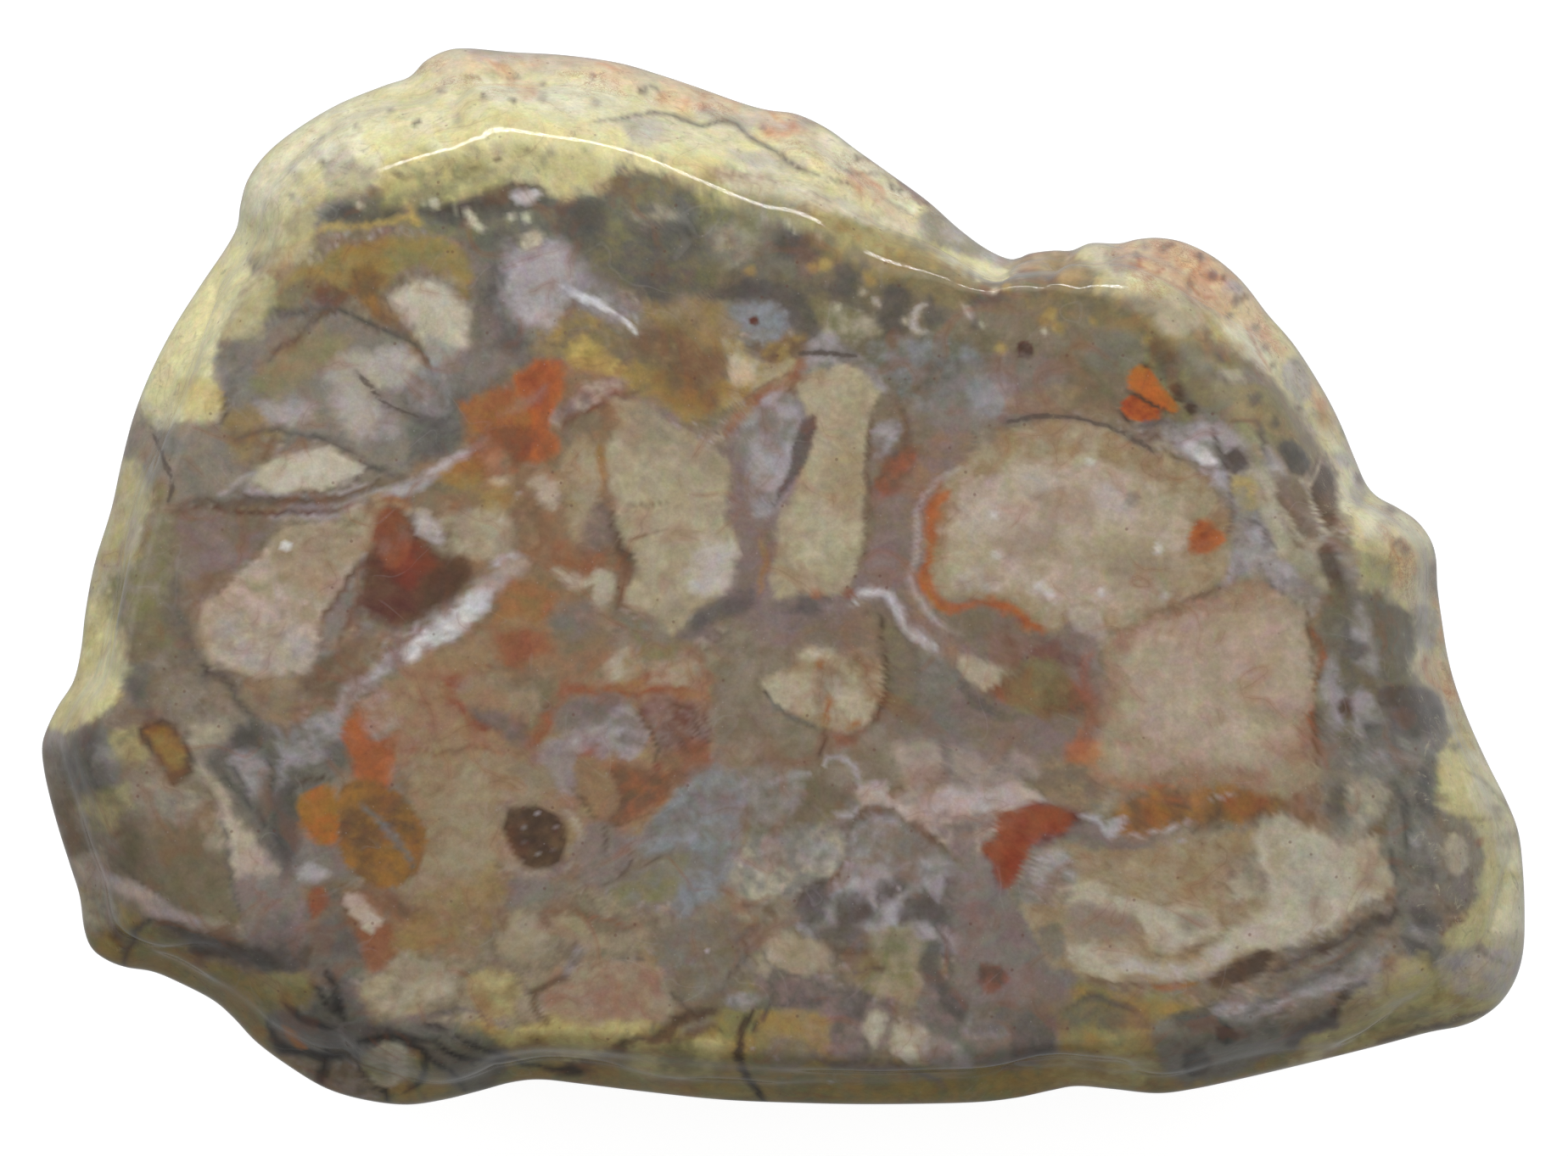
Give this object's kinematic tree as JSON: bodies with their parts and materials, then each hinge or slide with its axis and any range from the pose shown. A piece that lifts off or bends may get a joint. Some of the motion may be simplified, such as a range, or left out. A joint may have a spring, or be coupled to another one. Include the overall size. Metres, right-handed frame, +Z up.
{
  "type": "coprolite",
  "caption": "Half of an agatised coprolite nodule with one flat polished face and a lumpy natural back, lying on its back.",
  "frame": {"origin": "under the middle of the stone's box, on the surface it rests on", "axes": "+X along the stone's length, +Y across it towards the arched rim, +Z up out of the polished face"},
  "size_m": [0.0998, 0.0714, 0.0301],
  "materials": {
    "polished_agate": "polished"
  },
  "bodies": {
    "root": {"coprolite": "polished_agate"}
  },
  "joints": []
}
